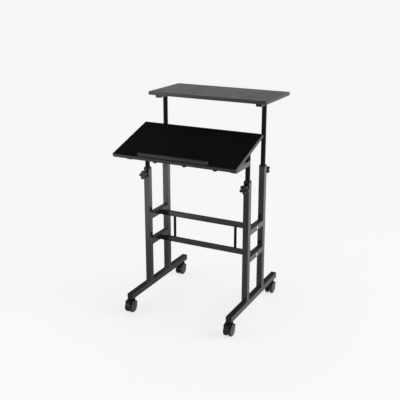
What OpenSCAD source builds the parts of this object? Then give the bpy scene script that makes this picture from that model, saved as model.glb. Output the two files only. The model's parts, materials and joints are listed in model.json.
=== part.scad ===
// Rolling laptop desk: a tilting desktop in front and a fixed shelf behind,
// each on its own pair of telescoping posts, on a welded frame with casters.
// Millimetres, +Z up, +Y to the rear; the origin is on the floor, under the
// middle of the whole desk.

/* [Frame] */
// side of the square frame tube
tube = 28; // [26:1:32]
// wall of every steel tube
wall = 1.5; // [1.2:0.1:2]
// outer corner radius of the square tube
tube_r = 2; // [1.5:0.5:4]
// distance between the left and right post centres
span_x = 514; // [470:2:540]
// distance between the front and rear post centres
span_y = 176; // [160:2:220]
// length of a foot, plugs included
foot_len = 544; // [500:2:620]
// length of a front outer post
front_len = 568; // [520:4:600]
// length of a rear outer post
rear_len = 600; // [560:4:640]
// height of the lower rungs and crossbar over the floor, at their centre
low_rung_z = 292; // [260:1:320]
// height of the upper rungs and crossbar over the floor, at their centre
high_rung_z = 424; // [400:1:470]
// depth of a crossbar, front to back
bar_d = 15; // [12:1:20]
// height of a crossbar
bar_h = 25; // [20:1:28]
// diameter of the two rods between the crossbars
rod_d = 13; // [10:0.5:14]
// distance between the two rods
rod_span = 324; // [240:2:400]
// diameter of the bolts that hold the crossbars
bolt_d = 8; // [6:1:8]
// diameter of the crossbar bolts' button heads
button_d = 14; // [12:0.5:15]
// height of the crossbar bolts' button heads
button_h = 4; // [3:0.5:5]
// thickness of the flange on every tube plug
plug_t = 2; // [1.5:0.5:3]
// depth of the plugs inside their tubes
plug_in = 12; // [8:1:16]

/* [Posts] */
// outer diameter of the four sliding posts
post_d = 22; // [20:0.5:23]
// length of a sliding front post
desk_post_len = 554; // [500:2:580]
// length of a sliding rear post
shelf_post_len = 600; // [560:2:620]
// depth of the plastic bushing inside an outer post
bush_in = 52; // [48:1:70]
// height of the bushing's collar above an outer post
collar_h = 10; // [8:1:12]
// how far the collar stands out past the tube on each side
collar_out = 0; // [0:0.05:0.1]

/* [Boards] */
// width of the desktop
desk_w = 600; // [570:2:640]
// depth of the desktop
desk_d = 300; // [280:2:340]
// thickness of both boards
board_t = 16; // [15:1:18]
// corner radius of both boards
board_r = 2; // [1:1:8]
// width of the shelf
shelf_w = 600; // [570:2:640]
// depth of the shelf
shelf_d = 296; // [260:2:320]
// distance from the rear posts' centre forward to the shelf's front edge
shelf_fwd = 85; // [70:1:100]
// height of the shelf's top over the floor
shelf_z = 1013; // [960:1:1040]
// length of the paper and laptop stop on the desktop's front edge
stop_w = 340; // [280:2:420]
// height of the stop above the desktop
stop_h = 17; // [12:1:22]
// thickness of the stop
stop_t = 8; // [7:1:12]
// distance from the desktop's front edge back to the stop
stop_in = 4; // [0:1:8]
// radius of the stop's upper corners
stop_r = 3; // [2:1:6]
// screw diameter for boards and stop
screw_d = 5; // [4:0.5:5]
// screw head diameter
head_d = 10; // [9:0.5:11]
// screw head height
head_h = 2.5; // [2:0.5:3]
// length of a board screw inside the board
bite = 11; // [8:1:12]

/* [Tilt] */
// tilt of the desktop as it stands in the rest pose
tilt = 18; // [12:1:20]
// least tilt that the slot allows
tilt_min = 0; // [0:1:4]
// greatest tilt that the slot allows
tilt_max = 24; // [21:1:25]
// height of the desktop's pivot over the floor
pivot_z = 819; // [810:1:830]
// distance from the pivot to the desktop's underside
pivot_drop = 17; // [16:0.5:19]
// distance from the pivot forward to the desktop's front edge
desk_fwd = 225; // [210:1:235]
// height of an arm's top over the floor
arm_z = 766.5; // [762:0.5:768]
// height of an arm
arm_h = 24; // [22:1:28]
// length of an arm forward of its post's centre, plug included
arm_len = 151; // [140:1:154]
// distance from the post's centre forward to the cross rail
rail_fwd = 109; // [104:1:112]
// side of the square cross rail
rail = 20; // [18:1:22]
// distance from the post's centre forward to the clamp stud
clamp_fwd = 60; // [58:1:62]
// thickness of the tilt bracket's sheet steel
plate_t = 3; // [2.5:0.5:3]
// width of the steel band on each side of the slot
band = 9; // [7:0.5:10]
// width of the bracket's flange under the desktop
flange_w = 27; // [24:1:32]
// pivot bolt diameter
pivot_d = 10; // [8:1:10]
// distance between the three cord pegs under the rail
peg_gap = 150; // [100:5:180]
// length of a cord peg
peg_l = 17.5; // [14:0.5:20]
// diameter of a cord peg's knob
peg_d = 21; // [18:0.5:24]

/* [Shelf brackets] */
// height of a shelf bracket
bracket_h = 14; // [12:1:18]
// length of a shelf bracket, plugs included
bracket_len = 240; // [200:2:256]
// distance from the shelf's front edge to the bracket's front end
bracket_in = 18; // [6:1:24]

/* [Knobs] */
// diameter over the lobes of a star knob
knob_d = 43; // [38:1:46]
// diameter of one lobe
lobe_d = 14.5; // [12:0.5:16]
// diameter of the knob's body between the lobes
core_d = 27; // [24:1:30]
// thickness of the lobed head
knob_t = 15; // [12:1:18]
// length of the round hub behind the lobed head
hub_l = 9; // [6:1:12]
// diameter of the hub
hub_d = 18; // [16:1:22]
// stud diameter
stud_d = 8; // [6:1:8]
// distance from an outer post's top down to its knob
knob_down = 22; // [20:1:34]
// length of the welded nut on an outer post
nut_l = 6; // [5:1:8]
// diameter of the welded nuts
nut_d = 14; // [12:1:16]

/* [Casters] */
// wheel diameter
wheel_d = 56; // [52:1:57]
// width of one of the twin wheels
wheel_w = 13.5; // [12:0.5:16]
// thickness of a wheel's closed face over the axle's end
cap_t = 2.5; // [2:0.5:3]
// height of a foot's underside over the floor
caster_h = 65; // [64:1:76]
// distance from the stem to the wheels' axle
trail = 19; // [17:1:22]
// thickness of the fork body between the wheels
fork_w = 11; // [10.5:0.5:15]
// thickness of the hood
hood_t = 2; // [1.5:0.5:2.5]
// angle from the rear at which the hood starts, seen from the side
hood_back = 18; // [14:1:20]
// angle from the rear at which the hood ends above the wheels' front
hood_front = 136; // [132:1:138]
// diameter of the stem's thread in the foot
stem_d = 10; // [8:1:10]
// diameter of the stem's pin inside the caster
pin_d = 7; // [6:0.5:7.5]
// diameter over the corners of the stem's hexagonal collar
collar_d = 19.6; // [16:0.1:21]
// height of the stem's hexagonal collar
collar_l = 4; // [2.5:0.5:4]
// axle diameter
axle_d = 8; // [6:1:8]
// distance from a foot's end to the caster's stem
stem_in = 26; // [20:1:40]
// width of the brake pedal
pedal_w = 26; // [20:1:30]
// thickness of the brake pedal
pedal_t = 3; // [2.5:0.5:3.5]
// diameter of the brake pedal's pin
lever_pin = 4; // [3:0.5:4.5]

/* [Fits] */
// radial clearance of a turning pin in its bore
run = 0.05; // [0.02:0.01:0.1]
// gap between faces that slide past each other
face = 0.2; // [0.1:0.05:0.4]
// gap beside the wheels
side_gap = 0.8; // [0.5:0.1:1.2]
// gap between the wheels' treads and the hood
well_gap = 1.2; // [0.8:0.1:1.5]

/* [Hidden] */
eps = 0.01;
steel = [0.13, 0.13, 0.14];
plastic = [0.07, 0.07, 0.08];
silver = [0.72, 0.73, 0.75];
black_board = [0.05, 0.05, 0.06];
fine = 96;

half_x = span_x / 2;
half_y = span_y / 2;
// the feet's middle stands this far behind the middle of the whole desk
front_reach = half_y + max(
    desk_fwd * cos(tilt) + (pivot_drop + board_t) * sin(tilt),
    (desk_fwd - stop_in) * cos(tilt) + (pivot_drop + board_t + stop_h) * sin(tilt));
rear_reach = half_y - shelf_fwd + shelf_d;
mid_y = (front_reach - rear_reach) / 2;
inside = tube - 2 * wall;
// inner corner radius of the tubes, limited by the wall
tube_ri = max(tube_r - wall, 0.3);
foot_top = caster_h + tube;
front_top = foot_top + front_len;
rear_top = foot_top + rear_len;
stem_y = foot_len / 2 - stem_in;
knob_reach = nut_l + (tube - post_d) / 2 - face;

// the tilting desk, seen from the side
pivot_y = mid_y - half_y;
arm_mid = arm_z - arm_h / 2;
arm_in = half_x - tube / 2;
plate_x = arm_in - face - plate_t;
clamp_a = 180 + atan((pivot_z - arm_mid) / clamp_fwd);
clamp_r = norm([clamp_fwd, pivot_z - arm_mid]);
slot_hi = clamp_a - tilt_max;
slot_lo = clamp_a - tilt_min;
slot_w = stud_d + 0.6;
post_over = 9;
desk_post_top = pivot_z + post_over;
bracket_screws = [-96, -42, 6];

// the shelf, seen from the side
shelf_y = mid_y + half_y - shelf_fwd;
bracket_top = shelf_z - board_t;
shelf_post_top = bracket_top - bracket_h;
bracket_y = shelf_y + bracket_in;
bracket_screw_in = 18;

// the caster, measured from its axle
axle_z = wheel_d / 2;
well_r = axle_z + well_gap;
hood_r = well_r + hood_t;
boss_top = caster_h - axle_z - collar_l;
boss_low = 16;
stem_low = 8;
wheel_x = fork_w / 2 + side_gap;
wheel_out = wheel_x + wheel_w;
hood_w = 2 * wheel_out - 1;
axle_tip = wheel_out - cap_t - 2 * face;

// the brake pedal, hinged in two ears on the hood's front
lever_r = hood_r + 5;
lever_a = hood_front - 6;
lever_hub = 4;
ear_r = 5;
ear_x = 8;
ear_t = 3;
pedal_gap = 1.3;
pedal_end = lever_a + 40;

// helpers

// rectangle w by h round the origin, with corner radius r
module rounded(w, h, r) {
    square([w - 2 * r, h], center = true);
    square([w, h - 2 * r], center = true);
    for (x = [-1, 1], y = [-1, 1])
        translate([x * (w / 2 - r), y * (h / 2 - r)])
            circle(r = r, $fn = 32);
}

// section of a rectangular tube
module tube_section(w, h) {
    difference() {
        rounded(w, h, tube_r);
        rounded(w - 2 * wall, h - 2 * wall, tube_ri);
    }
}

// a 2D shape (x, z) carried along Y from y0 to y1
module along_y(y0, y1) {
    translate([0, y1, 0])
        rotate([90, 0, 0])
            linear_extrude(y1 - y0)
                children();
}

// a 2D shape (y, z) carried along X from x0 to x1
module along_x(x0, x1) {
    translate([x0, 0, 0])
        rotate([90, 0, 90])
            linear_extrude(x1 - x0)
                children();
}

// round bar along X from x0 to x1
module bar_x(d, x0, x1) {
    translate([x0, 0, 0])
        rotate([0, 90, 0])
            cylinder(d = d, h = x1 - x0, $fn = fine);
}

// round bar along Y from y0 to y1
module bar_y(d, y0, y1) {
    translate([0, y1, 0])
        rotate([90, 0, 0])
            cylinder(d = d, h = y1 - y0, $fn = fine);
}

// round bar along Z from z0 to z1
module bar_z(d, z0, z1) {
    translate([0, 0, z0])
        cylinder(d = d, h = z1 - z0, $fn = fine);
}

// everything is drawn for the right side and mirrored for the left
module on_side(s) {
    if (s > 0)
        children();
    else
        mirror([1, 0, 0])
            children();
}

module both_sides() {
    for (s = [-1, 1])
        on_side(s)
            children();
}

// plug in the end of a w by h tube, its outer face at the origin, looking along -Y
module plug(w, h) {
    along_y(0, plug_t)
        rounded(w, h, tube_r);
    along_y(plug_t - eps, plug_t + plug_in)
        difference() {
            rounded(w - 2 * wall, h - 2 * wall, tube_ri);
            rounded(w - 2 * wall - 5, h - 2 * wall - 5, 1);
        }
}

// welded frame: feet, outer posts, rungs, crossbars and rods

module foot() {
    translate([half_x, mid_y, caster_h + tube / 2])
        difference() {
            union() {
                along_y(-foot_len / 2 + plug_t, foot_len / 2 - plug_t)
                    tube_section(tube, tube);
                for (s = [-1, 1])
                    translate([0, s * stem_y, 0])
                        bar_z(16, -tube / 2 + wall - eps, -tube / 2 + wall + 9);
            }
            for (s = [-1, 1])
                translate([0, s * stem_y, 0])
                    bar_z(stem_d, -tube / 2 - 1, 0);
        }
}

module foot_left() color(steel) on_side(-1) foot();
module foot_right() color(steel) on_side(1) foot();

module foot_plugs() color(plastic)
    both_sides()
        for (s = [-1, 1])
            translate([half_x, mid_y, caster_h + tube / 2])
                rotate([0, 0, s > 0 ? 180 : 0])
                    translate([0, -foot_len / 2, 0])
                        plug(tube, tube);

// outer post with the welded nut of its knob on the face turned to side s of Y
module outer_post(top, s) {
    translate([half_x, mid_y + s * half_y, 0])
        difference() {
            union() {
                translate([0, 0, foot_top])
                    linear_extrude(top - foot_top)
                        tube_section(tube, tube);
                translate([0, 0, top - knob_down])
                    scale([1, s, 1])
                        bar_y(nut_d, tube / 2 - eps, tube / 2 + nut_l);
            }
            translate([0, 0, top - knob_down])
                scale([1, s, 1])
                    bar_y(stud_d + 2 * run, tube / 2 - wall - 1, tube / 2 + nut_l + 1);
        }
}

module front_post_left() color(steel) on_side(-1) outer_post(front_top, -1);
module front_post_right() color(steel) on_side(1) outer_post(front_top, -1);
module rear_post_left() color(steel) on_side(-1) outer_post(rear_top, 1);
module rear_post_right() color(steel) on_side(1) outer_post(rear_top, 1);

module rungs() {
    for (z = [low_rung_z, high_rung_z])
        translate([half_x, mid_y, z])
            difference() {
                along_y(-half_y + tube / 2, half_y - tube / 2)
                    tube_section(tube, tube);
                bar_x(bolt_d, -tube, tube);
            }
}

module rungs_left() color(steel) on_side(-1) rungs();
module rungs_right() color(steel) on_side(1) rungs();

// tube between the rungs, with a threaded block welded into each end
module crossbar(z) {
    translate([0, mid_y, z])
        along_x(-arm_in, arm_in)
            tube_section(bar_d, bar_h);
    for (s = [-1, 1])
        translate([s * (arm_in - plug_in / 2), mid_y, z])
            difference() {
                cube([plug_in, bar_d - 2 * wall + eps, bar_h - 2 * wall + eps], center = true);
                bar_x(bolt_d, -plug_in, plug_in);
            }
}

module crossbar_upper() color(steel) crossbar(high_rung_z);
module crossbar_lower() color(steel) crossbar(low_rung_z);

module rods() color(steel)
    for (s = [-1, 1])
        translate([s * rod_span / 2, mid_y, 0])
            bar_z(rod_d, low_rung_z + bar_h / 2, high_rung_z - bar_h / 2);

// half section of a button head of radius r and height h
module button_profile(r, h) {
    polygon([[0, 0], [r, 0], [r, 0.3 * h], [0.83 * r, 0.72 * h], [0.46 * r, 0.95 * h], [0, h]]);
}

// button-head bolt through a rung into the crossbar's end
module crossbar_bolts() color(silver)
    both_sides()
        for (z = [low_rung_z, high_rung_z])
            translate([half_x + tube / 2, mid_y, z]) {
                bar_x(bolt_d, -tube - plug_in + 1, eps);
                rotate([0, 90, 0])
                    rotate_extrude($fn = fine)
                        button_profile(button_d / 2, button_h);
            }

// plastic bushing: square in the tube, round for the sliding post, with a collar
module bushing(top, s) {
    translate([half_x, mid_y + s * half_y, 0])
        difference() {
            union() {
                translate([0, 0, top - bush_in])
                    linear_extrude(bush_in + eps)
                        rounded(inside, inside, tube_ri);
                translate([0, 0, top])
                    linear_extrude(collar_h - 2)
                        rounded(tube + 2 * collar_out, tube + 2 * collar_out, tube_r + 1);
                translate([0, 0, top])
                    linear_extrude(collar_h)
                        rounded(tube + 2 * collar_out - 3, tube + 2 * collar_out - 3, tube_r);
            }
            bar_z(post_d + 2 * run, top - bush_in - 1, top + collar_h + 1);
            translate([0, 0, top - knob_down])
                scale([1, s, 1])
                    bar_y(stud_d + 1, 2, tube);
        }
}

module post_bushings() color(plastic)
    both_sides() {
        bushing(front_top, -1);
        bushing(rear_top, 1);
    }

// front carriage: sliding posts, arms and cross rail

module desk_post() {
    translate([half_x, pivot_y, 0])
        difference() {
            bar_z(post_d, desk_post_top - desk_post_len, desk_post_top);
            bar_z(post_d - 2 * wall, desk_post_top - desk_post_len - 1, desk_post_top - 3);
            translate([0, 0, pivot_z])
                bar_x(pivot_d, -post_d, post_d);
        }
}

module desk_post_left() color(steel) on_side(-1) desk_post();
module desk_post_right() color(steel) on_side(1) desk_post();

// arm coped round the post, with the clamp's threaded nut inside its inner wall
module desk_arm() {
    translate([half_x, pivot_y, arm_mid])
        difference() {
            union() {
                along_y(-arm_len + plug_t, -post_d / 2 + 3)
                    tube_section(tube, arm_h);
                translate([0, -clamp_fwd, 0])
                    bar_x(nut_d, -tube / 2 + wall - eps, -tube / 2 + wall + nut_l);
            }
            bar_z(post_d, -arm_h, arm_h);
            translate([0, -clamp_fwd, 0])
                bar_x(stud_d + 2 * run, -tube / 2 - 1, -tube / 2 + wall + nut_l + 1);
        }
}

module desk_arm_left() color(steel) on_side(-1) desk_arm();
module desk_arm_right() color(steel) on_side(1) desk_arm();

module arm_plugs() color(plastic)
    both_sides()
        translate([half_x, pivot_y - arm_len, arm_mid])
            plug(tube, arm_h);

module desk_rail() color(steel)
    translate([0, pivot_y - rail_fwd, arm_mid])
        along_x(-arm_in, arm_in)
            tube_section(rail, rail);

// half section of a mushroom-shaped peg of radius r and length l, hanging down
module peg_profile(r, l) {
    polygon([[0, 0], [0.67 * r, 0], [0.67 * r, -0.09 * l], [0.48 * r, -0.2 * l], [0.44 * r, -0.46 * l],
        [0.86 * r, -0.6 * l], [r, -0.71 * l], [0.91 * r, -0.85 * l], [0.62 * r, -0.95 * l], [0, -l]]);
}

// pegs under the rail, to hang a cord or a strap on
module cord_pegs() color(plastic)
    for (i = [-1, 0, 1])
        translate([i * peg_gap, pivot_y - rail_fwd, arm_mid - rail / 2])
            rotate_extrude($fn = fine)
                peg_profile(peg_d / 2, peg_l);

// shoulder bolt through the bracket and the post, its spacer, nut and post cap
module pivot_bolts() color(silver)
    both_sides()
        translate([0, pivot_y, pivot_z]) {
            bar_x(pivot_d, plate_x - face - eps, half_x + post_d / 2 + 9);
            bar_x(pivot_d + 7, plate_x - face - 5, plate_x - face);
            difference() {
                bar_x(pivot_d + 6, plate_x + plate_t + face, half_x - post_d / 2);
                bar_x(pivot_d, 0, half_x);
            }
            difference() {
                translate([half_x + post_d / 2, 0, 0])
                    rotate([0, 90, 0])
                        cylinder(d = pivot_d + 8, h = 7, $fn = 6);
                bar_x(pivot_d, 0, half_x + tube);
            }
        }

// tilting desktop with its stop and brackets

// the desktop's own frame: pivot at the origin, y along the board, z square to it
module tilted(a = tilt) {
    translate([0, pivot_y, pivot_z])
        rotate([a, 0, 0])
            children();
}

module board(w, d) {
    linear_extrude(board_t)
        rounded(w, d, board_r);
}

// screw with its head below z = 0 and its shank upwards
module board_screw(len) {
    bar_z(screw_d, -eps, len);
    bar_z(head_d, -head_h, 0);
}

module bracket_screw_places() {
    for (s = [-1, 1], y = bracket_screws)
        translate([s * (plate_x - flange_w / 2 + plate_t), y, pivot_drop - plate_t])
            children();
}

module stop_screw_places() {
    for (i = [-1, 0, 1])
        translate([i * stop_w / 3, stop_in + stop_t / 2 - desk_fwd, pivot_drop])
            children();
}

module desktop() color(black_board)
    tilted()
        difference() {
            translate([0, desk_d / 2 - desk_fwd, pivot_drop])
                board(desk_w, desk_d);
            bracket_screw_places()
                bar_z(screw_d, 0, plate_t + bite);
            stop_screw_places()
                bar_z(screw_d, -1, board_t + 1);
            stop_screw_places()
                bar_z(head_d, -1, head_h);
        }

// stop strip with rounded upper corners, screwed on from below
module desk_stop() color(plastic)
    tilted()
        difference() {
            translate([0, stop_in - desk_fwd, pivot_drop + board_t])
                along_y(0, stop_t) {
                    translate([-stop_w / 2 + stop_r, 0])
                        square([stop_w - 2 * stop_r, stop_h]);
                    translate([-stop_w / 2, 0])
                        square([stop_w, stop_h - stop_r]);
                    for (s = [-1, 1])
                        translate([s * (stop_w / 2 - stop_r), stop_h - stop_r])
                            circle(r = stop_r, $fn = 48);
                }
            stop_screw_places()
                bar_z(screw_d, board_t - 1, board_t + bite);
        }

// screws of the tilt brackets and of the stop
module desktop_screws() color(silver)
    tilted() {
        bracket_screw_places()
            board_screw(plate_t + bite);
        stop_screw_places()
            translate([0, 0, head_h])
                board_screw(board_t + bite - head_h);
    }

// side view of the bracket's web: pivot eye, slotted band and the sheet between
module web_outline() {
    r_in = clamp_r - slot_w / 2 - band;
    r_out = clamp_r + slot_w / 2 + band;
    a0 = slot_hi - 6;
    a1 = slot_lo + 6;
    circle(r = pivot_d / 2 + 9, $fn = fine);
    intersection() {
        difference() {
            circle(r = r_out, $fn = 180);
            circle(r = r_in, $fn = 180);
        }
        polygon([[0, 0], 2 * r_out * [cos(a0), sin(a0)], 2 * r_out * [cos(a1), sin(a1)]]);
    }
    translate(clamp_r * [cos(a1), sin(a1)])
        circle(r = slot_w / 2 + band, $fn = fine);
    polygon([
        [18, pivot_drop - plate_t / 2],
        [pivot_d / 2 + 9, 0],
        [4, -pivot_d / 2 - 8],
        [r_in * cos(a0 + 14), r_in * sin(a0 + 14)],
        [r_out * cos(a0), r_out * sin(a0)],
        [-r_out - 3, -6],
        [-r_out - 5, pivot_drop - plate_t / 2]
    ]);
}

// arc slot about the pivot, with round ends
module arc_slot() {
    intersection() {
        difference() {
            circle(r = clamp_r + slot_w / 2, $fn = 180);
            circle(r = clamp_r - slot_w / 2, $fn = 180);
        }
        polygon([[0, 0], 2 * clamp_r * [cos(slot_hi), sin(slot_hi)],
            2 * clamp_r * [cos(slot_lo), sin(slot_lo)]]);
    }
    for (a = [slot_hi, slot_lo])
        translate(clamp_r * [cos(a), sin(a)])
            circle(d = slot_w, $fn = fine);
}

// pressed bracket: slotted web beside the arm, flange under the desktop
module tilt_bracket() {
    tilted()
        difference() {
            union() {
                along_x(plate_x, plate_x + plate_t)
                    difference() {
                        web_outline();
                        circle(d = pivot_d + 2 * run, $fn = fine);
                        arc_slot();
                        translate([-44, -9])
                            circle(r = 12, $fn = fine);
                    }
                translate([plate_x + plate_t - flange_w, -clamp_r - slot_w / 2 - band - 5,
                        pivot_drop - plate_t])
                    cube([flange_w, clamp_r + slot_w / 2 + band + 5 + 18, plate_t]);
            }
            bracket_screw_places()
                bar_z(screw_d, -1, plate_t + 1);
        }
}

module tilt_bracket_left() color(steel) on_side(-1) tilt_bracket();
module tilt_bracket_right() color(steel) on_side(1) tilt_bracket();

// rear carriage: sliding posts, brackets and shelf

module shelf_post() {
    translate([half_x, mid_y + half_y, 0])
        difference() {
            bar_z(post_d, shelf_post_top - shelf_post_len, shelf_post_top);
            bar_z(post_d - 2 * wall, shelf_post_top - shelf_post_len - 1, shelf_post_top - 3);
        }
}

module shelf_post_left() color(steel) on_side(-1) shelf_post();
module shelf_post_right() color(steel) on_side(1) shelf_post();

module bracket_holes() {
    for (y = [bracket_screw_in, bracket_len - bracket_screw_in])
        translate([half_x, bracket_y + y, shelf_post_top])
            children();
}

module shelf_bracket() {
    difference() {
        translate([half_x, bracket_y, bracket_top - bracket_h / 2])
            along_y(plug_t, bracket_len - plug_t)
                tube_section(tube, bracket_h);
        bracket_holes()
            bar_z(screw_d, -1, bracket_h + 1);
    }
}

module shelf_bracket_left() color(steel) on_side(-1) shelf_bracket();
module shelf_bracket_right() color(steel) on_side(1) shelf_bracket();

module bracket_plugs() color(plastic)
    both_sides() {
        translate([half_x, bracket_y, bracket_top - bracket_h / 2])
            plug(tube, bracket_h);
        translate([half_x, bracket_y + bracket_len, bracket_top - bracket_h / 2])
            rotate([0, 0, 180])
                plug(tube, bracket_h);
    }

module shelf() color(black_board)
    difference() {
        translate([0, shelf_y + shelf_d / 2, bracket_top])
            board(shelf_w, shelf_d);
        both_sides()
            bracket_holes()
                bar_z(screw_d, 0, bracket_h + bite);
    }

module shelf_screws() color(silver)
    both_sides()
        bracket_holes()
            board_screw(bracket_h + bite);

// star knobs

// five-lobed knob on its stud: hub on z = 0, head upwards, stud reaching down
module star_knob(reach, turn) {
    rotate([0, 0, turn])
        intersection() {
            translate([0, 0, face + hub_l - eps])
                linear_extrude(knob_t + eps) {
                    circle(d = core_d, $fn = fine);
                    for (i = [0:4])
                        rotate([0, 0, i * 72])
                            translate([(knob_d - lobe_d) / 2, 0])
                                circle(d = lobe_d, $fn = fine);
                }
            translate([0, 0, face + hub_l - 1])
                rotate_extrude($fn = 128)
                    polygon([[0, 0], [knob_d / 2 - 1.5, 0], [knob_d / 2, 2.5],
                        [knob_d / 2, knob_t - 3.5], [knob_d / 2 - 2.5, knob_t - 0.8],
                        [core_d / 2 - 3, knob_t + 1], [0, knob_t + 1]]);
        }
    bar_z(hub_d, face, face + hub_l);
    bar_z(stud_d, -reach, face + eps);
}

module desk_knob(turn) {
    translate([half_x, pivot_y - tube / 2 - nut_l, front_top - knob_down])
        rotate([90, 0, 0])
            star_knob(knob_reach, turn);
}

module desk_knob_left() color(plastic) on_side(-1) desk_knob(2);
module desk_knob_right() color(plastic) on_side(1) desk_knob(60);

module shelf_knob(turn) {
    translate([half_x, mid_y + half_y + tube / 2 + nut_l, rear_top - knob_down])
        rotate([-90, 0, 0])
            star_knob(knob_reach, turn);
}

module shelf_knob_left() color(plastic) on_side(-1) shelf_knob(20);
module shelf_knob_right() color(plastic) on_side(1) shelf_knob(38);

module tilt_knob(turn) {
    translate([plate_x, pivot_y - clamp_fwd, arm_mid])
        rotate([0, -90, 0])
            star_knob(plate_t + face + wall + nut_l, turn);
}

module tilt_knob_left() color(plastic) on_side(-1) tilt_knob(10);
module tilt_knob_right() color(plastic) on_side(1) tilt_knob(50);

// casters

// stem with its hexagonal collar: threaded into the foot, a smooth pin in the caster
module caster_stems() color(silver)
    both_sides()
        for (s = [-1, 1])
            translate([half_x, mid_y + s * stem_y, 0]) {
                bar_z(pin_d, axle_z + stem_low, caster_h);
                bar_z(stem_d, caster_h - eps, caster_h + wall + 9);
                translate([0, 0, axle_z + boss_top + face])
                    cylinder(d = collar_d, h = collar_l - face, $fn = 6);
            }

// place of a caster: y is the stem's side, the wheels trail to the front
module caster_place(s) {
    translate([half_x, mid_y + s * stem_y, axle_z])
        translate([0, -trail, 0])
            children();
}

// part of a ring from radius r0 to r1 and from angle a0 to a1
module ring_sector(r0, r1, a0, a1) {
    intersection() {
        difference() {
            circle(r = r1, $fn = 128);
            circle(r = r0, $fn = 128);
        }
        polygon([[0, 0], 2 * r1 * [cos(a0), sin(a0)], 2 * r1 * [cos((a0 + a1) / 2), sin((a0 + a1) / 2)],
            2 * r1 * [cos(a1), sin(a1)]]);
    }
}

// side view of the fork body between the wheels; the stem stands at y = trail
module fork_outline() {
    circle(r = axle_z - 8, $fn = fine);
    ring_sector(3, hood_r, hood_back, hood_front);
    translate([trail - stem_d / 2 - 4, 0])
        square([stem_d + 8, boss_top]);
}

// point of the brake pedal's pin, seen from the side
module at_lever() {
    translate(lever_r * [cos(lever_a), sin(lever_a)])
        children();
}

// side view of an ear that carries the pin
module ear_outline() {
    at_lever()
        circle(r = ear_r, $fn = fine);
    ring_sector(hood_r - 1, lever_r, lever_a - 7, lever_a + 5);
}

module caster_body(braked) {
    difference() {
        union() {
            along_x(-fork_w / 2, fork_w / 2)
                fork_outline();
            along_x(-hood_w / 2, hood_w / 2)
                ring_sector(well_r, hood_r, hood_back, hood_front);
            difference() {
                translate([0, trail, 0])
                    bar_z(stem_d + 12, boss_low, boss_top);
                for (s = [-1, 1])
                    translate([s * (fork_w / 2 + hood_w / 2), 0, 0])
                        bar_x(2 * well_r, -hood_w / 2, hood_w / 2);
            }
            if (braked)
                for (s = [-1, 1])
                    translate([s * (ear_x + ear_t / 2), 0, 0])
                        along_x(-ear_t / 2, ear_t / 2)
                            ear_outline();
        }
        bar_x(axle_d, -fork_w, fork_w);
        translate([0, trail, 0])
            bar_z(pin_d + 2 * run, stem_low - face, boss_top + 1);
        if (braked)
            translate([0, lever_r * cos(lever_a), lever_r * sin(lever_a)])
                bar_x(lever_pin, -fork_w, fork_w);
    }
}

// axle pressed into the fork, and the brake pedal's pin on a braked caster
module caster_axle(braked) {
    bar_x(axle_d, -axle_tip, axle_tip);
    if (braked)
        translate([0, lever_r * cos(lever_a), lever_r * sin(lever_a)])
            bar_x(lever_pin, -ear_x - ear_t, ear_x + ear_t);
}

// wheel, open inside and closed by a slightly domed face; s is its side
module caster_wheel(s) {
    r = wheel_d / 2;
    w = wheel_w;
    b = axle_d / 2 + run;
    translate([s * wheel_x, 0, 0])
        rotate([0, s * 90, 0])
            rotate_extrude($fn = 128)
                polygon([[0, w - cap_t], [b, w - cap_t], [b, 0], [b + 4, 0], [b + 5, 4], [r - 6.5, 4],
                    [r - 5, 0.6], [r - 1.5, 0], [r, 1.6], [r, w - 4], [r - 0.7, w - 2.4],
                    [r - 2.2, w - 1.3], [r - 5, w - 0.8], [r / 2, w - 0.2], [0, w]]);
}

// brake pedal: a hub on the pin, and a curved plate with a toe lip over the treads
module brake_lever() {
    tread_side = hood_r + pedal_gap;
    difference() {
        union() {
            along_x(-ear_x + face, ear_x - face) {
                at_lever()
                    circle(r = lever_hub, $fn = fine);
                ring_sector(tread_side, tread_side + pedal_t, lever_a, lever_a + 14);
            }
            along_x(-pedal_w / 2, pedal_w / 2) {
                ring_sector(tread_side, tread_side + pedal_t, lever_a + 11, pedal_end);
                translate((tread_side + pedal_t / 2 + 1) * [cos(pedal_end), sin(pedal_end)])
                    circle(d = pedal_t + 2, $fn = 48);
            }
        }
        translate([0, lever_r * cos(lever_a), lever_r * sin(lever_a)])
            bar_x(lever_pin + 2 * run, -fork_w, fork_w);
    }
}

module caster_fl() color(plastic) on_side(-1) caster_place(-1) caster_body(true);
module caster_fr() color(plastic) on_side(1) caster_place(-1) caster_body(true);
module caster_rl() color(plastic) on_side(-1) caster_place(1) caster_body(false);
module caster_rr() color(plastic) on_side(1) caster_place(1) caster_body(false);
module axle_fl() color(silver) on_side(-1) caster_place(-1) caster_axle(true);
module axle_fr() color(silver) on_side(1) caster_place(-1) caster_axle(true);
module axle_rl() color(silver) on_side(-1) caster_place(1) caster_axle(false);
module axle_rr() color(silver) on_side(1) caster_place(1) caster_axle(false);
module wheel_fl_a() color(plastic) on_side(-1) caster_place(-1) caster_wheel(1);
module wheel_fl_b() color(plastic) on_side(-1) caster_place(-1) caster_wheel(-1);
module wheel_fr_a() color(plastic) on_side(1) caster_place(-1) caster_wheel(1);
module wheel_fr_b() color(plastic) on_side(1) caster_place(-1) caster_wheel(-1);
module wheel_rl_a() color(plastic) on_side(-1) caster_place(1) caster_wheel(1);
module wheel_rl_b() color(plastic) on_side(-1) caster_place(1) caster_wheel(-1);
module wheel_rr_a() color(plastic) on_side(1) caster_place(1) caster_wheel(1);
module wheel_rr_b() color(plastic) on_side(1) caster_place(1) caster_wheel(-1);
module brake_fl() color(plastic) on_side(-1) caster_place(-1) brake_lever();
module brake_fr() color(plastic) on_side(1) caster_place(-1) brake_lever();

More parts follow.
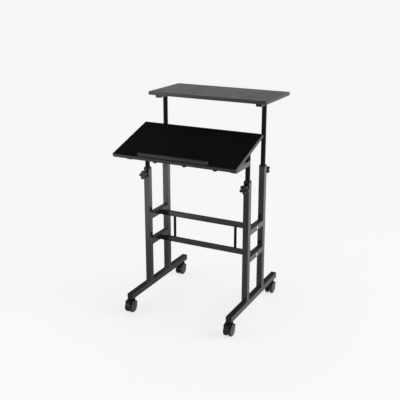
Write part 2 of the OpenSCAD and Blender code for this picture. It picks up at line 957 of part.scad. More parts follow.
foot_left();
foot_right();
foot_plugs();
front_post_left();
front_post_right();
rear_post_left();
rear_post_right();
rungs_left();
rungs_right();
crossbar_upper();
crossbar_lower();
rods();
crossbar_bolts();
post_bushings();
caster_stems();
desk_post_left();
desk_post_right();
desk_arm_left();
desk_arm_right();
arm_plugs();
desk_rail();
cord_pegs();
pivot_bolts();
desktop();
desk_stop();
tilt_bracket_left();
tilt_bracket_right();
desktop_screws();
shelf_post_left();
shelf_post_right();
shelf_bracket_left();
shelf_bracket_right();
bracket_plugs();
shelf();
shelf_screws();
desk_knob_left();
desk_knob_right();
shelf_knob_left();
shelf_knob_right();
tilt_knob_left();
tilt_knob_right();
caster_fl();
axle_fl();
wheel_fl_a();
wheel_fl_b();
brake_fl();
caster_fr();
axle_fr();
wheel_fr_a();
wheel_fr_b();
brake_fr();
caster_rl();
axle_rl();
wheel_rl_a();
wheel_rl_b();
caster_rr();
axle_rr();
wheel_rr_a();
wheel_rr_b();
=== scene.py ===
import json
import math

import bmesh
import bpy
from mathutils import Matrix, Vector


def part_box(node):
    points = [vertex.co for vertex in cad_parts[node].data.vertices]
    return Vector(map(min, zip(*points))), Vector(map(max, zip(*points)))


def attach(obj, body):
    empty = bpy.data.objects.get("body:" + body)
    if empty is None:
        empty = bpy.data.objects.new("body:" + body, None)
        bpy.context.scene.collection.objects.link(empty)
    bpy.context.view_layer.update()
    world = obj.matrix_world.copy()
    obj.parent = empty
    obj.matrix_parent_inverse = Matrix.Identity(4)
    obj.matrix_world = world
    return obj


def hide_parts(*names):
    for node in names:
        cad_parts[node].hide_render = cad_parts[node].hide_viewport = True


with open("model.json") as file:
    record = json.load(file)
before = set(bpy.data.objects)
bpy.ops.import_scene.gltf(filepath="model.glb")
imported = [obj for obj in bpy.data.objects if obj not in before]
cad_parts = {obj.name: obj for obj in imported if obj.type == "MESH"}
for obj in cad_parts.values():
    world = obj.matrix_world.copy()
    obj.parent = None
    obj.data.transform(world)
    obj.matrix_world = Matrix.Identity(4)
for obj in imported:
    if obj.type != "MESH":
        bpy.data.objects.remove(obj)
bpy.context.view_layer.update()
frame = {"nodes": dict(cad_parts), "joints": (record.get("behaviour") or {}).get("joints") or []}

mm = 0.001

# WELDED FRAME
# Two sides of square steel tube are welded up, and two flat tubes cross from one
# to the other. All are powder coated black: a satin skin with the faint orange
# peel of baked powder and a little unevenness in its sheen.


class Wire:
    """A value inside a node tree; sums written on it add Math nodes."""

    def __init__(self, recipe, socket):
        self.recipe, self.socket = recipe, socket

    def maths(self, operation, other):
        return self.recipe.node("ShaderNodeMath", {"operation": operation}, {0: self, 1: other})

    def __add__(self, other):
        return self.maths("ADD", other)

    def __mul__(self, other):
        return self.maths("MULTIPLY", other)

    __radd__, __rmul__ = __add__, __mul__


class Recipe:
    """The nodes of a finish or of the sky."""

    def __init__(self, owner):
        owner.use_nodes = True
        self.tree = owner.node_tree

    def node(self, kind, settings=None, values=None, out=0):
        """One node: first its settings, then a number, a colour or a wire for each socket."""
        made = self.tree.nodes.new(kind)
        for key, value in (settings or {}).items():
            if key == "stops":
                self.set_stops(made.color_ramp.elements, value)
            else:
                setattr(made, key, value)
        for key, value in (values or {}).items():
            if isinstance(value, Wire):
                self.tree.links.new(value.socket, made.inputs[key])
            else:
                made.inputs[key].default_value = value
        return Wire(self, made.outputs[out])

    def set_stops(self, elements, stops):
        for at, colour in stops[1:-1]:
            elements.new(at).color = (*colour, 1)
        for end in (0, -1):
            elements[end].position = stops[end][0]
            elements[end].color = (*stops[end][1], 1)

    def link(self, wire, node, socket):
        self.tree.links.new(wire.socket, self.tree.nodes[node].inputs[socket])

    def run(self, value, start, end, low=0.0, high=1.0):
        """A number that runs from low to high while value runs from start to end."""
        return self.node("ShaderNodeMapRange", {}, {0: value, 1: start, 2: end, 3: low, 4: high})

    def between(self, mask, low, high):
        """A colour that runs from low to high with the mask."""
        low, high = (end if isinstance(end, Wire) else (*end, 1) for end in (low, high))
        return self.node("ShaderNodeMix", {"data_type": "RGBA"}, {0: mask, 6: low, 7: high}, out=2)


class Finish(Recipe):
    """A material in the making, on the piece's own Object coordinates."""

    def __init__(self, name, **constants):
        self.material = bpy.data.materials.new(name)
        super().__init__(self.material)
        self.shader = self.tree.nodes["Principled BSDF"]
        for socket, value in constants.items():
            self.shader.inputs[socket.replace("_", " ")].default_value = value
        self.place = self.node("ShaderNodeTexCoord", out="Object")

    def noise(self, scale, detail, stretch=None):
        place = self.place
        if stretch:
            place = self.node("ShaderNodeMapping", {}, {"Vector": place, "Scale": stretch})
        return self.node("ShaderNodeTexNoise", {}, {"Vector": place, "Scale": scale, "Detail": detail})

    def spread(self, mask, low, high):
        """The middle part of a noise, stretched to run from low to high."""
        return self.run(mask, 0.3, 0.7, low, high)

    def mottled(self, mask, low, high):
        """A colour that wanders between two shades with a noise."""
        return self.between(self.spread(mask, 0, 1), low, high)

    def put(self, **links):
        for socket, wire in links.items():
            self.link(wire, "Principled BSDF", socket.replace("_", " "))

    def relief(self, height, depth, strength):
        """Fine unevenness of the skin."""
        self.put(Normal=self.node("ShaderNodeBump", {}, {
            "Strength": strength, "Distance": depth, "Height": height}))


# The coat's reflections carry a faint warm tint, painted to stand in for the warm cast of the light.
coat = Finish("powder_coat", Specular_IOR_Level=1.0, Specular_Tint=(1.0, 1.0, 0.95, 1))
coat.put(Base_Color=coat.mottled(coat.noise(7, 3), (0.0045, 0.0045, 0.0042), (0.0085, 0.0085, 0.0078)),
         Roughness=coat.spread(coat.noise(45, 4), 0.12, 0.18))
coat.relief(coat.noise(900, 2) + coat.noise(260, 1) * 1.5, 0.04 * mm, 0.25)
powder_coat = coat.material


def dress(material, *nodes):
    for name in nodes:
        mesh = frame["nodes"][name].data
        mesh.materials.clear()
        mesh.materials.append(material)


dress(powder_coat, "foot_left", "foot_right", "front_post_left", "front_post_right",
      "rear_post_left", "rear_post_right", "rungs_left", "rungs_right",
      "crossbar_upper", "crossbar_lower")

# WELD BEADS
# Where tube meets tube a bead lies in the corner, rippled by the torch and
# coated over with the rest. Flush faces are ground flat and show none.

low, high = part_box("foot_right")
half_x, mid_y, foot_top = (low.x + high.x) / 2, (low.y + high.y) / 2, high.z
tube = 28 * mm
flat_half = 12.5 * mm  # of the flat between a tube's rounded corners
post_y = 88 * mm  # from the middle of a foot to the middle of a post
front_y, rear_y = mid_y - post_y, mid_y + post_y
rung_heights = (292 * mm, 424 * mm)
bar_half = 12.5 * mm  # of a crossbar's height
rod_x = 162 * mm
front_nut_z, rear_nut_z = 639 * mm, 671 * mm  # nuts for the knobs on the posts
foot_bead, rung_bead = 2.2 * mm, 2 * mm
rod_ring, nut_ring = (6.4 * mm, 1.0 * mm), (7 * mm, 1.3 * mm)  # radius and thickness


def piece(name, bm, materials, body, *nodes, sharp=32):
    """A finished piece: in place, smooth-shaded up to sharp, riding on its body."""
    bmesh.ops.recalc_face_normals(bm, faces=bm.faces)
    mesh = bpy.data.meshes.new(name)
    bm.to_mesh(mesh)
    bm.free()
    mesh.shade_smooth()
    mesh.set_sharp_from_angle(angle=math.radians(sharp))
    for material in materials:
        mesh.materials.append(material)
    made = bpy.data.objects.new(name, mesh)
    bpy.context.scene.collection.objects.link(made)
    made.modifiers.new("flat faces stay flat", "WEIGHTED_NORMAL").keep_sharp = True
    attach(made, body)
    if nodes:
        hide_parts(*nodes)
    return made


def rod(bm, radius, start, end, segments):
    """Round bar between two points."""
    start, end = Vector(start), Vector(end)
    along = end - start
    place = Matrix.Translation((start + end) / 2) @ along.to_track_quat("Z", "Y").to_matrix().to_4x4()
    return bmesh.ops.create_cone(bm, cap_ends=True, segments=segments, radius1=radius,
                                 radius2=radius, depth=along.length, matrix=place)["verts"]


def bead(bm, start, end, radius):
    """Straight bead, cut into short rings that swell and shrink."""
    cut_length, ripple, ripple_length = 1.1 * mm, 0.13, 0.45 * mm
    start, end = Vector(start), Vector(end)
    along = (end - start).normalized()
    verts = rod(bm, radius, start, end, 10)
    sides = {e for v in verts for e in v.link_edges
             if abs((e.verts[0].co - e.verts[1].co).normalized().dot(along)) > 0.9}
    cut = bmesh.ops.subdivide_edges(bm, edges=list(sides), cuts=int((end - start).length / cut_length))
    for v in (g for g in cut["geom_inner"] if isinstance(g, bmesh.types.BMVert)):
        t = (v.co - start).dot(along)
        core = start + along * t
        v.co = core + (v.co - core) * (1 + ripple * math.sin(t / ripple_length))


def ring_bead(bm, centre, axis, radius, thick):
    """Bead all round a tube or nut."""
    step = 1.0 * mm
    axis = Vector(axis)
    side = axis.orthogonal().normalized()
    ring = bmesh.ops.create_circle(bm, segments=10, radius=thick, matrix=(
        Matrix.Translation(Vector(centre) + side * radius)
        @ side.cross(axis).to_track_quat("Z", "Y").to_matrix().to_4x4()))
    edges = {e for v in ring["verts"] for e in v.link_edges}
    bmesh.ops.spin(bm, geom=list(ring["verts"]) + list(edges), cent=centre, axis=axis,
                   angle=2 * math.pi, steps=max(12, int(2 * math.pi * radius / step)), use_merge=True)


bm = bmesh.new()
for side in (-1, 1):
    left, right = side * half_x - flat_half, side * half_x + flat_half
    for y in (front_y, rear_y):
        for s in (-1, 1):
            edge_y = y + s * tube / 2
            bead(bm, (left, edge_y, foot_top), (right, edge_y, foot_top), foot_bead)
    for z in rung_heights:
        for y in (mid_y - (post_y - tube / 2), mid_y + (post_y - tube / 2)):
            for s in (-1, 1):
                bead(bm, (left, y, z + s * tube / 2), (right, y, z + s * tube / 2), rung_bead)
for side in (-1, 1):
    for z in (rung_heights[0] + bar_half, rung_heights[1] - bar_half):
        ring_bead(bm, (side * rod_x, mid_y, z), (0, 0, 1), *rod_ring)
    ring_bead(bm, (side * half_x, front_y - tube / 2, front_nut_z), (0, 1, 0), *nut_ring)
    ring_bead(bm, (side * half_x, rear_y + tube / 2, rear_nut_z), (0, 1, 0), *nut_ring)
piece("frame_welds", bm, [powder_coat], "base")

# TUBE PLUGS, BUSHINGS AND CORD PEGS
# Push-in plugs close the feet, arms and bracket tubes, a bushing with a collar
# guides each sliding post, and three pegs under the desk's rail hold cords. All
# are black moulded polypropylene with a fine grain and slightly rounded edges.

grain = Finish("moulded_plastic", Specular_IOR_Level=0.32)
grain.put(Base_Color=grain.mottled(grain.noise(60, 3), (0.006, 0.006, 0.0058), (0.010, 0.010, 0.0097)),
          Roughness=grain.spread(grain.noise(380, 2), 0.32, 0.44))
grain.relief(grain.noise(1700, 1), 0.04 * mm, 0.35)
moulded = grain.material


def soften(bm, width, segments=2, angle=30):
    """Round every edge sharper than angle."""
    edges = [e for e in bm.edges if len(e.link_faces) == 2 and e.calc_face_angle() > math.radians(angle)]
    bmesh.ops.bevel(bm, geom=edges, offset=width, offset_type="OFFSET", segments=segments,
                    profile=0.5, affect="EDGES", clamp_overlap=True, material=-1)


def softened(node, width, material, body, segments=2, reshape=None):
    """The node's own shape with its moulded or pressed edges rounded."""
    same_point, same_plane = 0.002 * mm, math.radians(0.8)
    bm = bmesh.new()
    bm.from_mesh(frame["nodes"][node].data)
    bmesh.ops.remove_doubles(bm, verts=bm.verts, dist=same_point)
    bmesh.ops.dissolve_limit(bm, angle_limit=same_plane, verts=bm.verts, edges=bm.edges)
    soften(bm, width, segments)
    if reshape:
        reshape(bm)
    piece(node + "_soft", bm, [material], body, node)


softened("foot_plugs", 0.6 * mm, moulded, "base")
softened("post_bushings", 0.5 * mm, moulded, "base")
softened("arm_plugs", 0.6 * mm, moulded, "desk_carriage")
softened("bracket_plugs", 0.6 * mm, moulded, "shelf_carriage")
softened("cord_pegs", 0.3 * mm, moulded, "desk_carriage")

# BOLTS
# Button-head bolts with a hexagon socket hold the crossbars between the rungs;
# bolts with a spacer and a nut are the desktop's pivots. All are zinc-plated
# steel: bright, faintly brushed by tumbling, a little cloudy.

plating = Finish("zinc_plate", Metallic=1.0)
plating.put(Base_Color=plating.mottled(plating.noise(160, 4), (0.60, 0.61, 0.62), (0.74, 0.75, 0.77)),
            Roughness=plating.spread(plating.noise(500, 3), 0.24, 0.40))
plating.relief(plating.noise(1400, 2), 0.02 * mm, 0.3)
zinc = plating.material


def profile(*points):
    """Radius and height of each point of a turned shape, given in millimetres."""
    return [(radius * mm, height * mm) for radius, height in points]


def hexagon(angle, flats):
    """Distance from the middle to a hexagon's side, for a socket."""
    return flats / 2 / math.cos((angle % (math.pi / 3)) - math.pi / 6)


def recessed(bm, centre, axis, outside, outline, depth, segments=48):
    """A turned head whose middle ring is drawn to an outline and sunk."""
    centre, axis = Vector(centre), Vector(axis).normalized()
    side = axis.orthogonal().normalized()
    up = axis.cross(side)

    def on_ring(angle, radius, height):
        return centre + (side * math.cos(angle) + up * math.sin(angle)) * radius + axis * height

    inner = list(bmesh.ops.create_circle(bm, segments=segments, radius=1.0)["verts"])
    for v in inner:
        angle = math.atan2(v.co.y, v.co.x)
        v.co = on_ring(angle, outline(angle), outside[-1][1])
    last = list({e for v in inner for e in v.link_edges})
    sunk = bmesh.ops.extrude_edge_only(bm, edges=last)["geom"]
    bmesh.ops.translate(bm, verts=[g for g in sunk if isinstance(g, bmesh.types.BMVert)],
                        vec=-axis * depth)
    bmesh.ops.contextual_create(bm, geom=[g for g in sunk if isinstance(g, bmesh.types.BMEdge)])
    for radius, height in reversed(outside):
        out = bmesh.ops.extrude_edge_only(bm, edges=last)["geom"]
        for v in (g for g in out if isinstance(g, bmesh.types.BMVert)):
            off = v.co - centre
            v.co = on_ring(math.atan2(off.dot(up), off.dot(side)), radius, height)
        last = [g for g in out if isinstance(g, bmesh.types.BMEdge)]
    bmesh.ops.contextual_create(bm, geom=last)


button_head = profile((7, 0), (7, 0.9), (6.7, 1.6), (5.9, 2.7), (4.7, 3.5), (3.4, 3.9), (2.9, 4))
socket_flats, socket_depth = 4.6 * mm, 2.4 * mm
bolt_radius, bolt_length = 4 * mm, 39 * mm
bm = bmesh.new()
for side in (-1, 1):
    for z in rung_heights:
        face = Vector((side * (half_x + tube / 2), mid_y, z))
        recessed(bm, face, (side, 0, 0), button_head, lambda a: hexagon(a, socket_flats), socket_depth)
        rod(bm, bolt_radius, face, face - Vector((side * bolt_length, 0, 0)), 24)
piece("crossbar_bolts_bright", bm, [zinc], "base", "crossbar_bolts")
softened("pivot_bolts", 0.4 * mm, zinc, "desk_carriage")

# SLIDING POSTS AND RODS
# Four round tubes slide in the bushings. They are coated thinner than the frame
# and without its shine, and sliding leaves faint lengthwise rub marks on them.
# The two thin rods between the crossbars are coated like the frame, but take this darker, duller finish
# as painted shade.

slide = Finish("sliding_tube_and_shaded_rods", Specular_IOR_Level=0.10)
rub = slide.noise(420, 3, (1, 1, 0.012))
slide.put(Base_Color=slide.mottled(rub, (0.0024, 0.0024, 0.0024), (0.0044, 0.0044, 0.0042)),
          Roughness=slide.spread(rub, 0.32, 0.44))
slide.relief(rub, 0.02 * mm, 0.25)
# The rods wear this finish too: painted shade in place of the frame's coat.
dress(slide.material, "desk_post_left", "desk_post_right", "shelf_post_left", "shelf_post_right", "rods")

# DESK ARMS AND TILT BRACKETS
# Arms of steel tube are coped round the front sliding posts and welded, and a
# rail joins them. Pressed steel brackets under the desktop turn on the posts'
# tops and are clamped to the arms through their arc slots.

dress(powder_coat, "desk_arm_left", "desk_arm_right", "desk_rail")
softened("tilt_bracket_left", 0.35 * mm, powder_coat, "tilting_top")
softened("tilt_bracket_right", 0.35 * mm, powder_coat, "tilting_top")


def joint_place(key, name):
    """Where the joint lies that is called name, or whose child is called name."""
    return Vector(next(j for j in frame["joints"] if j[key] == name)["pos_m"])


pivot = joint_place("name", "desk_tilt")
arm_z, arm_half = 754.5 * mm, 12 * mm
rail_end, rail_y, rail_half = 243 * mm, pivot.y - 109 * mm, 10 * mm
rail_bead, rail_bead_half, arm_ring = 1.8 * mm, 8 * mm, (11 * mm, 1.5 * mm)
bm = bmesh.new()
for side in (-1, 1):
    x = side * rail_end
    for s in (-1, 1):
        ring_bead(bm, (side * half_x, pivot.y, arm_z + s * arm_half), (0, 0, 1), *arm_ring)
        level, across = arm_z + s * rail_half, rail_y + s * rail_half
        bead(bm, (x, rail_y - rail_bead_half, level), (x, rail_y + rail_bead_half, level), rail_bead)
        bead(bm, (x, across, arm_z - rail_bead_half), (x, across, arm_z + rail_bead_half), rail_bead)
piece("desk_carriage_welds", bm, [powder_coat], "desk_carriage")

# DESKTOP
# Fibreboard faced with black melamine on both sides, its edges closed with a
# dark grey plastic band whose corners are trimmed to a small radius. The face
# has a fine pebbled emboss and a low sheen.

film = Finish("black_melamine", Specular_IOR_Level=0.35)
pebble = film.node("ShaderNodeTexVoronoi", {"feature": "SMOOTH_F1"},
                   {"Vector": film.place, "Scale": 900.0})
film.put(Base_Color=film.mottled(film.noise(9, 4), (0.0022, 0.0022, 0.0026), (0.0036, 0.0036, 0.0041)),
         Roughness=film.spread(film.noise(30, 5), 0.30, 0.36))
film.relief(pebble + film.noise(300, 3), 0.05 * mm, 0.3)
melamine = film.material

band = Finish("edge_band", Specular_IOR_Level=0.5)
band.put(Base_Color=band.mottled(band.noise(40, 3), (0.016, 0.016, 0.0164), (0.023, 0.023, 0.0237)),
         Roughness=band.spread(band.noise(200, 3, (1, 1, 0.1)), 0.34, 0.46))
band.relief(band.noise(1100, 2), 0.03 * mm, 0.3)
edge_band = band.material

board_width, board_thick = 600 * mm, 16 * mm
desk_depth, desk_mid_y, desk_under = 300 * mm, -75 * mm, 17 * mm
tilt = Matrix.Translation(pivot) @ Matrix.Rotation(math.radians(18), 4, "X")


def board(name, depth, place, body, node):
    """Flat board with banded edges, whose underside lies on z = 0 of its place."""
    corner_radius, trim_radius = 2 * mm, 0.6 * mm
    bm = bmesh.new()
    bmesh.ops.create_cube(bm, size=1, matrix=Matrix.Diagonal((board_width, depth, board_thick, 1)))
    upright = [e for e in bm.edges if abs(e.verts[0].co.z - e.verts[1].co.z) > board_thick / 2]
    bmesh.ops.bevel(bm, geom=upright, offset=corner_radius, offset_type="OFFSET", segments=6,
                    profile=0.5, affect="EDGES", material=-1)
    for f in bm.faces:
        f.material_index = 0 if abs(f.normal.z) > 0.5 else 1
    soften(bm, trim_radius, 3, 60)
    bmesh.ops.translate(bm, verts=bm.verts, vec=(0, 0, board_thick / 2))
    bmesh.ops.transform(bm, matrix=place, verts=bm.verts)
    piece(name, bm, [melamine, edge_band], body, node, sharp=50)


board("desktop_board", desk_depth, tilt @ Matrix.Translation((0, desk_mid_y, desk_under)),
      "tilting_top", "desktop")

# STOP STRIP
# A strip along the front edge keeps what lies on the desktop from sliding off.
# It is of the same dark grey plastic as the edges, with rounded ends.

strip_length, strip_thick, strip_height = 340 * mm, 8 * mm, 17 * mm
strip_y, strip_end_radius, strip_edge_radius = -217 * mm, 3 * mm, 1 * mm
bm = bmesh.new()
bmesh.ops.create_cube(bm, size=1, matrix=Matrix.Diagonal((strip_length, strip_thick, strip_height, 1)))
ends = [e for e in bm.edges
        if abs(e.verts[0].co.y - e.verts[1].co.y) > strip_thick / 2 and e.verts[0].co.z > 0]
bmesh.ops.bevel(bm, geom=ends, offset=strip_end_radius, offset_type="OFFSET", segments=6,
                profile=0.5, affect="EDGES", material=-1)
soften(bm, strip_edge_radius, 3, 50)
bmesh.ops.translate(bm, verts=bm.verts, vec=(0, strip_y, desk_under + board_thick + strip_height / 2))
bmesh.ops.transform(bm, matrix=tilt, verts=bm.verts)
piece("stop_strip", bm, [edge_band], "tilting_top", "desk_stop", sharp=50)

# DESKTOP SCREWS
# Six pan-head screws go up through the tilt brackets' flanges into the board;
# three go through it into the stop strip, their heads sunk in counterbores. All
# are zinc plated, with a cross recess.

pan_head = profile((5, 0), (5, 0.9), (4.6, 1.7), (3.8, 2.2), (2.4, 2.5))
sunk_head = profile((5, 0), (5, 1.6), (4.7, 2.0))
bracket_x, flange_thick = 229.3 * mm, 3 * mm
screw_rows = (-96 * mm, -42 * mm, 6 * mm)
screw_radius, screw_length, recess_depth, counterbore = 2.5 * mm, 14 * mm, 1.4 * mm, 2 * mm


def cross(angle):
    """Outline of a cross recess in a screw's head."""
    reach, width = 2.1 * mm, 1.1 * mm
    a = abs((angle + math.pi / 4) % (math.pi / 2) - math.pi / 4)
    return min(reach / math.cos(a), width / 2 / max(math.sin(a), 1e-3), reach)


def screw_head(bm, centre, axis, head):
    recessed(bm, centre, axis, head, cross, recess_depth, 40)


bm = bmesh.new()
down = tilt.to_3x3() @ Vector((0, 0, -1))
for side in (-1, 1):
    for y in screw_rows:
        spot = tilt @ Vector((side * bracket_x, y, desk_under - flange_thick))
        screw_head(bm, spot, down, pan_head)
        rod(bm, screw_radius, spot, spot - down * screw_length, 16)
for third in (-1, 0, 1):
    spot = tilt @ Vector((third * strip_length / 3, strip_y, desk_under))
    screw_head(bm, spot - down * counterbore, down, sunk_head)
piece("desktop_screws_bright", bm, [zinc], "tilting_top", "desktop_screws")

# SHELF
# A level board, made as the desktop is. Two flat bracket tubes are welded across
# the rear sliding posts' tops and screwed to it from below.

low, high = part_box("shelf")
shelf_front, shelf_under = low.y, low.z
bracket_height, bracket_ring = 14 * mm, (11 * mm, 1.6 * mm)
bracket_under = shelf_under - bracket_height
shelf_screws_in, shelf_screw_length = (36 * mm, 240 * mm), 25 * mm
dress(powder_coat, "shelf_bracket_left", "shelf_bracket_right")
board("shelf_board", high.y - low.y, Matrix.Translation((0, (low.y + high.y) / 2, shelf_under)),
      "shelf_carriage", "shelf")
screws, welds = bmesh.new(), bmesh.new()
for side in (-1, 1):
    for inwards in shelf_screws_in:
        spot = Vector((side * half_x, shelf_front + inwards, bracket_under))
        screw_head(screws, spot, (0, 0, -1), pan_head)
        rod(screws, screw_radius, spot, spot + Vector((0, 0, shelf_screw_length)), 16)
    ring_bead(welds, (side * half_x, rear_y, bracket_under), (0, 0, 1), *bracket_ring)
piece("shelf_screws_bright", screws, [zinc], "shelf_carriage", "shelf_screws")
piece("shelf_carriage_welds", welds, [powder_coat], "shelf_carriage")

# STAR KNOBS
# Six five-lobed knobs, moulded in black nylon on a zinc-plated stud: four
# clamp the sliding posts, two the tilt brackets. The lobes are rounded all
# over, with a shallow dish in the head and a small cap over the stud.

shine = Finish("knob_nylon", Specular_IOR_Level=0.5)
shine.put(Base_Color=shine.mottled(shine.noise(90, 3), (0.005, 0.005, 0.0053), (0.009, 0.009, 0.0093)),
          Roughness=shine.spread(shine.noise(300, 3), 0.14, 0.22))
shine.relief(shine.noise(1500, 1), 0.04 * mm, 0.3)
nylon = shine.material

knob_length = 24.2 * mm
head_under, head_thick, draft = 9.2 * mm, 14.6 * mm, 0.97
rim_radius, rim_width, dish_depth = 2.6 * mm, 2.2 * mm, 0.7 * mm
stud_radius, stud_in_hub = 4 * mm, 0.3 * mm
hub = profile((0, 0.2), (8.2, 0.2), (8.9, 0.8), (9.0, 2.2), (9.0, 7.4), (10.6, 9.4), (0, 9.4))
cap = profile((0, 23.0), (7.4, 23.0), (7.4, 23.9), (6.9, 24.15), (0, 24.2))


def turned(bm, outline, centre, axis, segments):
    """A profile of radius and height spun round the axis through centre."""
    centre, axis = Vector(centre), Vector(axis).normalized()
    side = axis.orthogonal().normalized()
    verts = [bm.verts.new(centre + side * radius + axis * height) for radius, height in outline]
    edges = [bm.edges.new(pair) for pair in zip(verts, verts[1:])]
    bmesh.ops.spin(bm, geom=verts + edges, cent=centre, axis=axis, angle=2 * math.pi,
                   steps=segments, use_merge=True)
    bmesh.ops.remove_doubles(bm, verts=bm.verts, dist=0.0001 * mm)


def lobed(angle):
    """Outline of the head: a round core with five round lobes, run together."""
    off = (angle + math.pi / 5) % (2 * math.pi / 5) - math.pi / 5
    core, reach, lobe = 13.5, 14.25, 7.25  # in millimetres; the lobe's middle lies at reach
    run_together = 14
    under = lobe ** 2 - (reach * math.sin(off)) ** 2
    far = reach * math.cos(off) + math.sqrt(under) if under > 0 else 0
    return (core ** run_together + far ** run_together) ** (1 / run_together) * mm


def star_knob(node, axis, turn, stud):
    """A knob whose head ends where the CAD node's does, on the same axis."""
    axis = Vector(axis)
    low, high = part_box(node)
    centre = joint_place("child", node)
    for i in range(3):
        if abs(axis[i]) > 0.5:
            centre[i] = (high[i] if axis[i] > 0 else low[i]) - axis[i] * knob_length
    bm = bmesh.new()
    ring = bmesh.ops.create_circle(bm, cap_ends=True, segments=120, radius=1.0)["verts"]
    for v in ring:
        a = math.atan2(v.co.y, v.co.x)
        v.co = Vector((math.cos(a), math.sin(a), 0)) * lobed(a) * draft + Vector((0, 0, head_under))
    upper = bmesh.ops.extrude_face_region(bm, geom=list(bm.faces))["geom"]
    top = [g for g in upper if isinstance(g, bmesh.types.BMVert)]
    bmesh.ops.translate(bm, verts=top, vec=(0, 0, head_thick))
    bmesh.ops.scale(bm, verts=top, vec=(1 / draft, 1 / draft, 1))
    soften(bm, rim_radius, 5, 60)
    halfway = head_under + head_thick / 2
    dish = [f for f in bm.faces if f.normal.z > 0.99 and f.calc_center_median().z > halfway]
    bmesh.ops.inset_region(bm, faces=dish, thickness=rim_width, depth=-dish_depth, use_even_offset=True)
    turned(bm, cap, (0, 0, 0), (0, 0, 1), 48)
    turned(bm, hub, (0, 0, 0), (0, 0, 1), 64)
    for v in rod(bm, stud_radius, (0, 0, -stud), (0, 0, stud_in_hub), 32):
        for f in v.link_faces:
            f.material_index = 1
    bmesh.ops.transform(bm, matrix=Matrix.Translation(centre) @ turn, verts=bm.verts)
    piece(node + "_moulded", bm, [nylon, zinc], node, node, sharp=40)


# The left knobs mirror the right ones, each turned by its own angle. A tilt
# knob sits on the inner side of its arm, so it points to the middle.
quarter = math.radians(90)
flip = Matrix.Diagonal((-1, 1, 1, 1))
for name, axis, aim, turns, stud in (
        ("desk_knob", (0, -1, 0), Matrix.Rotation(quarter, 4, "X"), (2, 60), 8.8 * mm),
        ("shelf_knob", (0, 1, 0), Matrix.Rotation(-quarter, 4, "X"), (20, 38), 8.8 * mm),
        ("tilt_knob", None, Matrix.Rotation(-quarter, 4, "Y"), (10, 50), 10.7 * mm)):
    for side, end, turn in ((-1, "_left", turns[0]), (1, "_right", turns[1])):
        place = aim @ Matrix.Rotation(math.radians(turn), 4, "Z")
        star_knob(name + end, axis or (-side, 0, 0), place if side > 0 else flip @ place, stud)

# CASTERS
# Twin-wheel swivel casters: a blackened stem, a moulded fork body with a hood, and
# two wheels on an axle that their closed, slightly domed faces hide. Each front
# caster has a brake pedal, curved round the treads, on a pin in two ears.

black = Finish("blackened_steel", Metallic=1.0)
black.put(Base_Color=black.mottled(black.noise(140, 4), (0.030, 0.029, 0.028), (0.055, 0.053, 0.050)),
          Roughness=black.spread(black.noise(420, 3), 0.32, 0.46))
black.relief(black.noise(1300, 2), 0.02 * mm, 0.3)
dress(black.material, "caster_stems", "axle_fl", "axle_fr", "axle_rl", "axle_rr")

tread = Finish("wheel_tread", Specular_IOR_Level=0.45)
scuff = tread.noise(220, 5, (0.25, 1, 1))
tread.put(Base_Color=tread.mottled(scuff, (0.008, 0.008, 0.0077), (0.014, 0.0137, 0.0133)),
          Roughness=tread.spread(scuff, 0.32, 0.52))
tread.relief(scuff, 0.06 * mm, 0.3)

disc = Finish("wheel_face", Specular_IOR_Level=0.5)
disc.put(Base_Color=disc.mottled(disc.noise(160, 5), (0.032, 0.032, 0.031), (0.043, 0.0425, 0.0415)),
         Roughness=disc.spread(disc.noise(260, 3), 0.22, 0.30))
disc.relief(disc.noise(1500, 1), 0.04 * mm, 0.3)

hood_inner, hood_outer = 29.4 * mm, 31.7 * mm  # round the axle
fork_half = 11.6 * mm
lip_start, lip_run, lip_tip = 54, 36, 10  # in degrees above level, behind the axle
lip_loss = 0.85  # of the skin's thickness
face_radius = 23.8 * mm
wheel = profile(
    (0, 11), (4.05, 11), (4.05, 0), (8, 0), (9, 4), (21.5, 4), (23, 0.6), (26.5, 0),
    (27.6, 0.5), (28, 1.6), (28, 4.2), (27.7, 4.5), (27.7, 4.9), (28, 5.2), (28, 9.0),
    (27.85, 9.9), (27.4, 10.8), (26.6, 11.6), (25.6, 12.1), (24.4, 12.3), (24.0, 12.15),
    (23.6, 12.35), (18, 12.85), (11, 13.2), (5, 13.4), (0, 13.5), (0, 11))


def thin_lip(axle):
    """Thins the hood's skin towards its rear edge, where it hugs the treads."""
    def reshape(bm):
        for v in bm.verts:
            off = v.co - axle
            reach = math.hypot(off.y, off.z)
            turn = math.degrees(math.atan2(off.z, off.y))
            if abs(off.x) > fork_half and hood_inner < reach < hood_outer and lip_tip < turn < lip_start:
                share = min((lip_start - turn) / lip_run, 1)
                share *= share * (3 - 2 * share)
                pull = 1 - lip_loss * share * (reach - hood_inner) / reach
                v.co.y, v.co.z = axle.y + off.y * pull, axle.z + off.z * pull
    return reshape


for corner in ("fl", "fr", "rl", "rr"):
    axle = joint_place("child", f"wheel_{corner}_a")
    softened("caster_" + corner, 0.6 * mm, moulded, "caster_" + corner, 3, reshape=thin_lip(axle))
    if corner[0] == "f":
        softened("brake_" + corner, 0.6 * mm, moulded, "brake_" + corner, 3)
    for half in ("_a", "_b"):
        node = "wheel_" + corner + half
        axle = joint_place("child", node)
        low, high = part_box(node)
        out = 1 if (low.x + high.x) / 2 > axle.x else -1
        bm = bmesh.new()
        turned(bm, wheel, (low.x if out > 0 else high.x, axle.y, axle.z), (out, 0, 0), 96)
        bmesh.ops.recalc_face_normals(bm, faces=bm.faces)
        for f in bm.faces:
            spot = f.calc_center_median() - axle
            spot.x = 0
            f.material_index = 1 if spot.length < face_radius and f.normal.x * out > 0.8 else 0
        made = piece(node + "_tread", bm, [tread.material, disc.material], node, node, sharp=35)

# STUDIO
# The camera sees floor and sky as one pale grey, with the desk's soft shadow.
# In reflections the floor is bright on the right and in a patch on the left, and
# the sky darkens upwards, so that the tubes have the photograph's light and dark.


def grey(level):
    return (level, level, level)


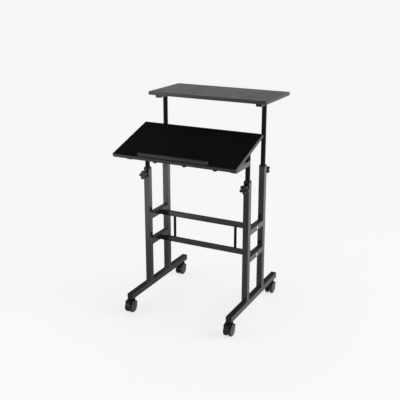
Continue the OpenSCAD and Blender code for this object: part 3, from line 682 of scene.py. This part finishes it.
def rays(recipe):
    """Three masks, each 1 for one kind of ray: camera, glossy, transmission."""
    return [recipe.node("ShaderNodeLightPath", out=f"Is {kind} Ray")
            for kind in ("Camera", "Glossy", "Transmission")]


paint = Finish("studio_floor", Base_Color=(*grey(0.84), 1), Roughness=0.9, Specular_IOR_Level=0.0)


def over_floor(axis, dark, bright):
    """Runs from 0 to 1 over the floor between two places on its x (0) or y (1)."""
    return paint.run(paint.node("ShaderNodeSeparateXYZ", {}, {0: paint.place}, out=axis), dark, bright)


camera_ray, glossy_ray, through_ray = rays(paint)
right_side = over_floor(0, 0.1, 0.75)
left_front = over_floor(0, -0.5, -1.0) * over_floor(1, -0.2, -0.8) * over_floor(1, -4.6, -3.6)
glow = paint.between(right_side + left_front, grey(0.16), grey(1.0))
plain = paint.node("ShaderNodeEmission", {}, {"Color": paint.between(glossy_ray, grey(0.926), glow)})
away = paint.node("ShaderNodeVectorMath", {"operation": "LENGTH"}, {0: paint.place}, out="Value")

# Round the desk part of the floor's own shading shows, and with it the shadow;
# farther than far all of it is the plain tone.
near, far, near_share = 0.9, 2.4, 0.76
share = (camera_ray + glossy_ray + through_ray) * paint.run(away, near, far, near_share, 1.0)
lit = Wire(paint, paint.shader.outputs[0])
mixed = paint.node("ShaderNodeMixShader", {}, {0: share, 1: lit, 2: plain})
paint.link(mixed, "Material Output", "Surface")

bm = bmesh.new()
floor_radius = 60
bmesh.ops.create_circle(bm, cap_ends=True, segments=64, radius=floor_radius)
mesh = bpy.data.meshes.new("floor")
bm.to_mesh(mesh)
bm.free()
mesh.materials.append(paint.material)
floor = bpy.data.objects.new("floor", mesh)
bpy.context.scene.collection.objects.link(floor)

world = bpy.data.worlds.new("studio")
bpy.context.scene.world = world
sky = Recipe(world)
camera_ray, glossy_ray, through_ray = rays(sky)
outwards = sky.node("ShaderNodeTexCoord", out="Generated")
height = sky.node("ShaderNodeSeparateXYZ", {}, {0: outwards}, out="Z")
shades = [(at, grey(level)) for at, level in (
    (0.02, 0.92), (0.19, 0.70), (0.28, 0.22), (0.38, 0.13), (0.46, 0.03), (0.6, 0.015))]
upwards = sky.node("ShaderNodeValToRGB", {"stops": shades}, {0: height})
around = sky.between(glossy_ray + through_ray, grey(0.86), upwards)
sky.link(sky.between(camera_ray, around, grey(0.9216)), "Background", "Color")


# A large soft light stands on the right, as in the photograph. A weak one in
# front and a small one low on the left keep the near faces from going black.
def softbox(name, width, height, power, spot, aim):
    lamp = bpy.data.lights.new(name, "AREA")
    lamp.shape, lamp.size, lamp.size_y, lamp.energy = "RECTANGLE", width, height, power
    holder = bpy.data.objects.new(name, lamp)
    bpy.context.scene.collection.objects.link(holder)
    holder.location = spot
    holder.rotation_euler = (Vector(aim) - Vector(spot)).to_track_quat("-Z", "Y").to_euler()


softbox("key_light", 6.8, 6.8, 840, (9.0, 4.0, 4.9), (0, 0, 0.5))
softbox("front_light", 2.0, 2.0, 10, (-1.6, -3.4, 2.2), (0, 0, 0.6))
softbox("low_light", 1.0, 0.8, 9, (-1.7, -1.5, 0.75), (-0.25, -0.1, 0.2))

# The camera stands where the photograph's did: 27 degrees to the right of the
# front and 16 degrees above level, with a lens as long as its perspective.
lens = bpy.data.cameras.new("camera")
lens.lens, lens.sensor_width = 62.15, 36
lens.shift_x, lens.shift_y = -0.0285, -0.0592
camera = bpy.data.objects.new("camera", lens)
camera.location = (1.405, -2.768, 1.534)
camera.rotation_euler = (math.radians(73.88), math.radians(-0.23), math.radians(26.33))
bpy.context.scene.collection.objects.link(camera)
bpy.context.scene.camera = camera
bpy.context.scene.view_settings.view_transform = "Standard"
